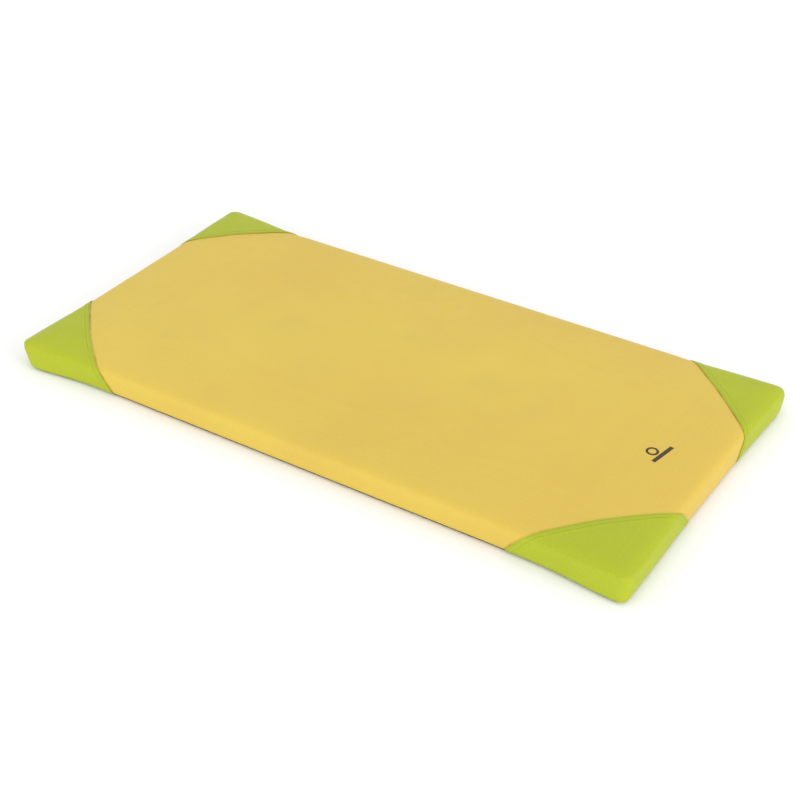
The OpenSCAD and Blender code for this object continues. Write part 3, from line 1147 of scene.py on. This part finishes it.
print("mark:", [round(v, 4) for v in (*points(mark).min(0), *points(mark).max(0))])

for model in (bead, zip_bead, dome, tooth):
    bpy.data.objects.remove(model)

# %% [markdown]
# ## Say what each piece is
#
# Each finished piece rides on a body of the mechanism, stands for CAD nodes and takes its
# finish from a slot. Only the slider and the pull move; everything else is the mat.

# %% Bodies, nodes and slots
PIECES = []


def belongs(obj, slot, *nodes, body="mat"):
    """Rides obj on a body, stands it for its CAD nodes and names its slot."""
    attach(obj, body)
    if nodes:
        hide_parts(*nodes)
    PIECES.append((obj, slot))


belongs(cover, "cover_fabric", "cover")
belongs(base, "base_fabric", "base_sheet")
belongs(domes, "base_fabric")
belongs(base_thread, "cover_thread", "base_seam_thread")
belongs(foam_lower, "firm_foam", "foam_base_layer")
belongs(foam_upper, "soft_foam", "foam_top_layer")
for corner in CORNERS:
    belongs(caps[corner], "corner_fabric", "corner_cap_" + corner)
    belongs(cap_threads[corner], "cap_thread", "cap_stitches_" + corner)
belongs(teeth_upper, "zip_teeth", "zip_teeth_upper")
belongs(teeth_lower, "zip_teeth", "zip_teeth_lower")
belongs(zip_thread_upper, "cover_thread", "zip_stitches_upper")
belongs(zip_thread_lower, "cover_thread", "zip_stitches_lower")
belongs(top_stops, "zip_metal", "zip_top_stops")
belongs(bottom_stop, "zip_metal", "zip_bottom_stop")
belongs(slider, "zip_metal", "zip_slider", body="zip_slider")
belongs(pull, "zip_metal", "zip_pull", body="zip_pull")
belongs(label, "label_fabric", "care_label")
belongs(mark, "print_ink", "printed_mark")


def flat_area(obj):
    """Area of one side of a piece's cloth, in square metres."""
    return sum(face.area for face in obj.data.polygons) / 2


for corner in CORNERS:
    print(corner, "cloth", round(flat_area(caps[corner]), 4))
print("base cloth", round(flat_area(base), 4))

# %% [markdown]
# ## Materials
#
# Every material is made of nodes and reads Object coordinates, which are metres here, so a
# pattern's scale is its real size. Each one starts from slow changes of colour over the
# piece, then adds the pattern of its own making: the weave under a coating, the twist of a
# thread, the cells of foam, the brush marks on metal. Bumps are fractions of a millimetre.

# %% Node helpers
def new_material(name, roughness, metallic=0.0, specular=0.5, sheen=0.0):
    made = bpy.data.materials.new(name)
    made.use_nodes = True
    shader = made.node_tree.nodes["Principled BSDF"]
    shader.inputs["Roughness"].default_value = roughness
    shader.inputs["Metallic"].default_value = metallic
    shader.inputs["Specular IOR Level"].default_value = specular
    shader.inputs["Sheen Weight"].default_value = sheen
    return made, made.node_tree, shader


def add(tree, kind, sockets, **settings):
    """Adds a node, sets it, and links or fills its sockets by name or number."""
    made = tree.nodes.new("ShaderNode" + kind)
    for name, value in settings.items():
        setattr(made, name, value)
    for name, value in sockets.items():
        if isinstance(value, bpy.types.NodeSocket):
            tree.links.new(value, made.inputs[name])
        else:
            made.inputs[name].default_value = value
    return made


def place(tree, scale=(1, 1, 1), turn=(0, 0, 0)):
    """Object coordinates, scaled and turned."""
    coords = add(tree, "TexCoord", {})
    return add(tree, "Mapping", {"Vector": coords.outputs["Object"], "Scale": scale,
                                 "Rotation": turn}).outputs["Vector"]


def cloudy(tree, scale, detail=3.0, vector=None, roughness=0.5):
    """A noise value between 0 and 1."""
    vector = vector or place(tree)
    return add(tree, "TexNoise", {"Vector": vector, "Scale": scale, "Detail": detail,
                                  "Roughness": roughness}).outputs["Fac"]


def math_node(tree, operation, a, b=0.0):
    return add(tree, "Math", {0: a, 1: b}, operation=operation).outputs[0]


def spread(tree, value, low, high, out_low=0.0, out_high=1.0):
    """Maps low..high to out_low..out_high and holds it there."""
    return add(tree, "MapRange", {"Value": value, "From Min": low, "From Max": high,
                                  "To Min": out_low, "To Max": out_high}).outputs[0]


def blend_colours(tree, factor, a, b):
    """a where the factor is 0, b where it is 1."""
    made = add(tree, "Mix", {"Factor": factor}, data_type="RGBA")
    for name, value in (("A", a), ("B", b)):
        socket = [s for s in made.inputs if s.name == name and s.type == "RGBA"][0]
        if isinstance(value, bpy.types.NodeSocket):
            tree.links.new(value, socket)
        else:
            socket.default_value = (*value, 1)
    return [s for s in made.outputs if s.type == "RGBA"][0]


def waves(tree, pitch, axes="XYZ", turn=(0, 0, 0)):
    """The sum of one sine wave along each axis, each of the given pitch in metres."""
    parts = add(tree, "SeparateXYZ", {"Vector": place(tree, turn=turn)})
    total = None
    for axis in axes:
        phase = math_node(tree, "MULTIPLY", parts.outputs[axis], 2 * math.pi / pitch)
        wave = math_node(tree, "SINE", phase)
        total = wave if total is None else math_node(tree, "ADD", total, wave)
    return total


def raise_by(tree, height, metres, below=None):
    """A bump of real height, over another bump if one is given."""
    sockets = {"Height": height, "Distance": metres}
    if below:
        sockets["Normal"] = below
    return add(tree, "Bump", sockets).outputs["Normal"]


def shade(colour, factor):
    return tuple(c * factor for c in colour)


# %% [markdown]
# ### Coated fabric
#
# The cover and the caps are polyester cloth with a thin vinyl coat: satin, with the threads
# just showing through, faint grain, and a colour that drifts a little where the cloth is
# stretched, handled or soiled. The colour is greyer and darker towards the foot of the walls,
# and painted shade darkens the hollows of the weave. On the caps a paler band along the crest
# of the top edge's fold is a painted highlight, and on the cover a thin painted shadow line
# runs along each seam. Each cover vertex stores its distance to the nearest cap edge, so that
# line follows the seam.

# %% Coated fabric
THREAD_PITCH = 0.0011
SEAM_W = 0.0055


def coated(name, colour, drift, soiled, wear_and_highlight, gloss, seam_shadow_paint=None):
    """colour drifts towards drift, with soiled patches, pale worn specks, a greyer foot and painted
    shade in the weave's hollows; with a seam colour it gets a painted shadow line along the seams,
    else a painted highlight along the fold's crest.
    """
    made, tree, shader = new_material(name, 0.5, specular=gloss)
    slow = spread(tree, cloudy(tree, 1.7, 2.0), 0.35, 0.65)
    tone = blend_colours(tree, slow, colour, drift)
    patch = spread(tree, cloudy(tree, 7.0, 4.0), 0.52, 0.75, 0.0, 0.30)
    tone = blend_colours(tree, patch, tone, soiled)
    speck = spread(tree, cloudy(tree, 260.0, 2.0), 0.42, 0.60, 0.0, 0.16)
    tone = blend_colours(tree, speck, tone, wear_and_highlight)
    height = add(tree, "SeparateXYZ", {"Vector": place(tree)}).outputs["Z"]
    # Greyer and darker towards the foot of the walls.
    foot = spread(tree, height, 0.004, 0.022, 0.22, 0.0)
    tone = blend_colours(tree, foot, tone, soiled)
    weave = waves(tree, THREAD_PITCH)
    # Painted shade: darker in the hollows of the weave's bump.
    dips = spread(tree, weave, -2.6, -0.6, 0.10, 0.0)
    tone = blend_colours(tree, dips, tone, shade(colour, 0.6))
    if seam_shadow_paint:
        # The cover: a thin painted shadow line along each cap's edge, broken up by noise.
        seam = add(tree, "Attribute", {}, attribute_name="seam").outputs["Fac"]
        off = math_node(tree, "ABSOLUTE", seam)
        ragged = spread(tree, cloudy(tree, 17.0, 2.0), 0.42, 0.62, 0.06, 0.58)
        line = math_node(tree, "MULTIPLY", spread(tree, off, SEAM_W / 2, SEAM_W, 1.0, 0.0),
                         ragged)
        tone = blend_colours(tree, line, tone, seam_shadow_paint)
    else:
        # The caps: a paler band along the fold's crest, a painted highlight broken up by noise.
        ridge = add(tree, "Attribute", {}, attribute_name="ridge").outputs["Fac"]
        patchy = spread(tree, cloudy(tree, 30.0, 3.0), 0.3, 0.7, 0.35, 0.85)
        tone = blend_colours(tree, math_node(tree, "MULTIPLY", ridge, patchy), tone, wear_and_highlight)
    tree.links.new(tone, shader.inputs["Base Color"])
    rough = spread(tree, cloudy(tree, 22.0, 4.0), 0.3, 0.7, 0.42, 0.56)
    tree.links.new(rough, shader.inputs["Roughness"])
    grain = add(tree, "TexVoronoi", {"Vector": place(tree), "Scale": 900.0},
                feature="DISTANCE_TO_EDGE").outputs["Distance"]
    normal = raise_by(tree, spread(tree, grain, 0.0, 0.4), 0.00003)
    normal = raise_by(tree, weave, 0.00003, normal)
    normal = raise_by(tree, cloudy(tree, 35.0, 3.0), 0.0006, normal)
    tree.links.new(normal, shader.inputs["Normal"])
    return made


# Colour of the thin painted shadow line along each cap's seam on the cover.
SEAM_SHADOW_PAINT = (0.30, 0.16, 0.03)
YELLOW, YELLOW_DRIFT = (0.672, 0.490, 0.068), (0.656, 0.456, 0.064)
GREEN, GREEN_DRIFT = (0.400, 0.456, 0.012), (0.385, 0.446, 0.014)
fabric_cover = coated("cover_fabric", YELLOW, YELLOW_DRIFT, (0.60, 0.43, 0.080),
                      (0.74, 0.57, 0.14), 0.35, SEAM_SHADOW_PAINT)
fabric_caps = coated("corner_fabric", GREEN, GREEN_DRIFT, (0.35, 0.40, 0.020),
                     (0.50, 0.56, 0.08), 0.25)

# %% [markdown]
# ### Thread, webbing and tape
#
# Sewing thread is plies twisted round one another, so its bump is a wave on a slant. The
# zip's tape is woven in narrow ribs, and the label is a smooth satin ribbon with fine ribs.

# %% Thread and tape
def thread_material(name, colour):
    made, tree, shader = new_material(name, 0.55, specular=0.4, sheen=0.2)
    twist = waves(tree, 0.0007, "X", turn=(0.5, 0.6, 0.7))
    # Painted shade: darker in the grooves of the twist.
    tone = blend_colours(tree, spread(tree, twist, -1, 1), shade(colour, 0.65), colour)
    tone = blend_colours(tree, spread(tree, cloudy(tree, 40.0), 0.4, 0.7, 0, 0.35), tone,
                         shade(colour, 0.8))
    tree.links.new(tone, shader.inputs["Base Color"])
    tree.links.new(raise_by(tree, twist, 0.0001), shader.inputs["Normal"])
    return made


def ribbed(name, colour, pitch, roughness, depth):
    made, tree, shader = new_material(name, roughness, specular=0.3, sheen=0.3)
    ribs = waves(tree, pitch, "XZ")
    # Painted shade: darker between the ribs.
    tone = blend_colours(tree, spread(tree, ribs, -2, 2), shade(colour, 0.72), colour)
    tone = blend_colours(tree, spread(tree, cloudy(tree, 60.0), 0.4, 0.7, 0, 0.3), tone,
                         shade(colour, 0.86))
    tree.links.new(tone, shader.inputs["Base Color"])
    fuzz = raise_by(tree, cloudy(tree, 2500.0, 2.0), 0.00004)
    tree.links.new(raise_by(tree, ribs, depth, fuzz), shader.inputs["Normal"])
    return made


thread_caps = thread_material("cap_thread", (0.24, 0.25, 0.02))
thread_cover = thread_material("cover_thread", (0.60, 0.42, 0.08))
tape = ribbed("zip_tape", (0.58, 0.40, 0.06), 0.0009, 0.75, 0.0001)
ribbon = ribbed("label_fabric", (0.82, 0.82, 0.79), 0.0005, 0.45, 0.00005)

# %% [markdown]
# ### Rubber, foam, plastic, metal and ink
#
# The base is dark and dull, with a fine pebbled skin and pale dust. Foam shows its cells.
# The teeth are smooth nylon with slight scuffs. Metal is brushed along its length, with
# duller marks where fingers and the chain rub it. The ink is thin, so it is a little broken.

# %% Rubber and foam
def rubber_material(name, colour):
    made, tree, shader = new_material(name, 0.8, specular=0.3)
    dust = spread(tree, cloudy(tree, 9.0, 5.0), 0.45, 0.75, 0.0, 0.45)
    tone = blend_colours(tree, dust, colour, (0.21, 0.20, 0.18))
    tree.links.new(tone, shader.inputs["Base Color"])
    tree.links.new(spread(tree, dust, 0, 0.45, 0.68, 0.9), shader.inputs["Roughness"])
    pebble = add(tree, "TexVoronoi", {"Vector": place(tree), "Scale": 700.0}).outputs["Distance"]
    tree.links.new(raise_by(tree, pebble, 0.0001), shader.inputs["Normal"])
    return made


def foam_material(name, colour, cells):
    made, tree, shader = new_material(name, 0.95, specular=0.15, sheen=0.2)
    cell = add(tree, "TexVoronoi", {"Vector": place(tree), "Scale": cells}).outputs["Distance"]
    # Painted shade: darker in the pits of the foam cells.
    tone = blend_colours(tree, spread(tree, cell, 0.1, 0.6), shade(colour, 0.6), colour)
    tone = blend_colours(tree, spread(tree, cloudy(tree, 6.0), 0.4, 0.7, 0, 0.3), tone,
                         shade(colour, 0.85))
    tree.links.new(tone, shader.inputs["Base Color"])
    tree.links.new(raise_by(tree, cell, 0.0008), shader.inputs["Normal"])
    return made


rubber = rubber_material("base_fabric", (0.060, 0.062, 0.066))
foam_dark = foam_material("firm_foam", (0.19, 0.20, 0.23), 900.0)
foam_pale = foam_material("soft_foam", (0.80, 0.76, 0.64), 600.0)


# %% Nylon, metal and ink
def nylon_material(name, colour):
    made, tree, shader = new_material(name, 0.35)
    tone = blend_colours(tree, spread(tree, cloudy(tree, 90.0, 3.0), 0.4, 0.7), colour,
                         shade(colour, 0.82))
    tree.links.new(tone, shader.inputs["Base Color"])
    scuffs = cloudy(tree, 1200.0, 3.0, place(tree, scale=(0.2, 1, 1)))
    tree.links.new(spread(tree, scuffs, 0.35, 0.7, 0.26, 0.5), shader.inputs["Roughness"])
    tree.links.new(raise_by(tree, scuffs, 0.00003), shader.inputs["Normal"])
    return made


def metal_material(name, colour):
    made, tree, shader = new_material(name, 0.3, metallic=1.0)
    brush = cloudy(tree, 9000.0, 2.0, place(tree, scale=(0.03, 1, 1)))
    patchy = spread(tree, cloudy(tree, 240.0, 4.0), 0.4, 0.7)
    tone = blend_colours(tree, patchy, colour, shade(colour, 0.7))
    tree.links.new(tone, shader.inputs["Base Color"])
    tree.links.new(spread(tree, patchy, 0, 1, 0.24, 0.46), shader.inputs["Roughness"])
    tree.links.new(raise_by(tree, brush, 0.00002), shader.inputs["Normal"])
    return made


def ink_material(name, colour):
    made, tree, shader = new_material(name, 0.6, specular=0.3)
    broken = spread(tree, cloudy(tree, 420.0, 4.0), 0.50, 0.68, 0.0, 0.55)
    tone = blend_colours(tree, broken, colour, (0.26, 0.19, 0.06))
    tree.links.new(tone, shader.inputs["Base Color"])
    tree.links.new(raise_by(tree, waves(tree, THREAD_PITCH), 0.00003), shader.inputs["Normal"])
    return made


nylon = nylon_material("zip_teeth", (0.60, 0.41, 0.07))
steel = metal_material("zip_metal", (0.62, 0.62, 0.60))
ink = ink_material("print_ink", (0.040, 0.031, 0.014))

# %% Give each piece its finish
keep_value(cover, "seam", cap_edge(points(cover)))
FINISH = {"cover_fabric": fabric_cover, "corner_fabric": fabric_caps,
          "base_fabric": rubber, "firm_foam": foam_dark, "soft_foam": foam_pale,
          "cap_thread": thread_caps, "cover_thread": thread_cover, "zip_teeth": nylon,
          "zip_metal": steel, "label_fabric": ribbon, "print_ink": ink}
for obj, slot in PIECES:
    obj.data.materials.clear()
    obj.data.materials.append(FINISH[slot])
for node in ("zip_tape_upper", "zip_tape_lower"):
    for place_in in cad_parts[node].material_slots:
        place_in.material = tape
print("pieces:", len(PIECES))

# %% [markdown]
# ## Floor, light and camera
#
# A pale floor, a white surround and two large soft lights, low at the front and at the
# right, which make the walls a little brighter than the top. The camera stands high at the
# front right, far enough away that the mat's edges hardly converge.

# %% Floor and surround
nothing()
bpy.ops.mesh.primitive_plane_add(size=40, location=(0, 0, -0.0003))
floor = new_piece("floor")
paint, tree, shader = new_material("floor_paint", 0.9, specular=0.1)
tone = blend_colours(tree, spread(tree, cloudy(tree, 0.8, 3.0), 0.3, 0.7), (0.96, 0.96, 0.96),
                     (0.94, 0.94, 0.94))
tree.links.new(tone, shader.inputs["Base Color"])
floor.data.materials.append(paint)

scene = bpy.context.scene
world = bpy.data.worlds.new("surround")
world.use_nodes = True
world.node_tree.nodes["Background"].inputs["Color"].default_value = (1, 1, 1, 1)
world.node_tree.nodes["Background"].inputs["Strength"].default_value = 1.0
scene.world = world
scene.view_settings.view_transform = "Standard"
scene.view_settings.look = "None"


# %% Lights
def toward(azimuth, elevation):
    """Unit vector from the mat towards a place round it. Azimuth 0 is the front."""
    a, e = math.radians(azimuth), math.radians(elevation)
    return Vector((math.sin(a) * math.cos(e), -math.cos(a) * math.cos(e), math.sin(e)))


def soft_light(name, azimuth, elevation, distance, size, power):
    data = bpy.data.lights.new(name, "AREA")
    data.shape, data.size, data.energy = "DISK", size, power
    obj = bpy.data.objects.new(name, data)
    obj.location = toward(azimuth, elevation) * distance
    obj.rotation_euler = toward(azimuth, elevation).to_track_quat("Z", "Y").to_euler()
    scene.collection.objects.link(obj)
    return obj


soft_light("key_front", 5, 16, 20.0, 12.0, 1060)
soft_light("key_right", 88, 16, 20.0, 12.0, 1230)

# %% Camera
AZIMUTH, ELEVATION, DISTANCE = 33.06, 34.12, 4.6747
AIM_RIGHT, AIM_UP, LENS, ROLL = 0.01395, -0.04400, 71.94, math.radians(-0.10)
back = toward(AZIMUTH, ELEVATION)
right = Vector((math.cos(math.radians(AZIMUTH)), math.sin(math.radians(AZIMUTH)), 0))
up = back.cross(right)
turned = right * math.cos(ROLL) + up * math.sin(ROLL)
up = up * math.cos(ROLL) - right * math.sin(ROLL)
right = turned
data = bpy.data.cameras.new("camera")
data.lens, data.sensor_width = LENS, 36
data.clip_end = 100
camera = bpy.data.objects.new("camera", data)
camera.location = back * DISTANCE + right * AIM_RIGHT + up * AIM_UP
camera.rotation_euler = Matrix((right, up, back)).transposed().to_euler()
scene.collection.objects.link(camera)
scene.camera = camera
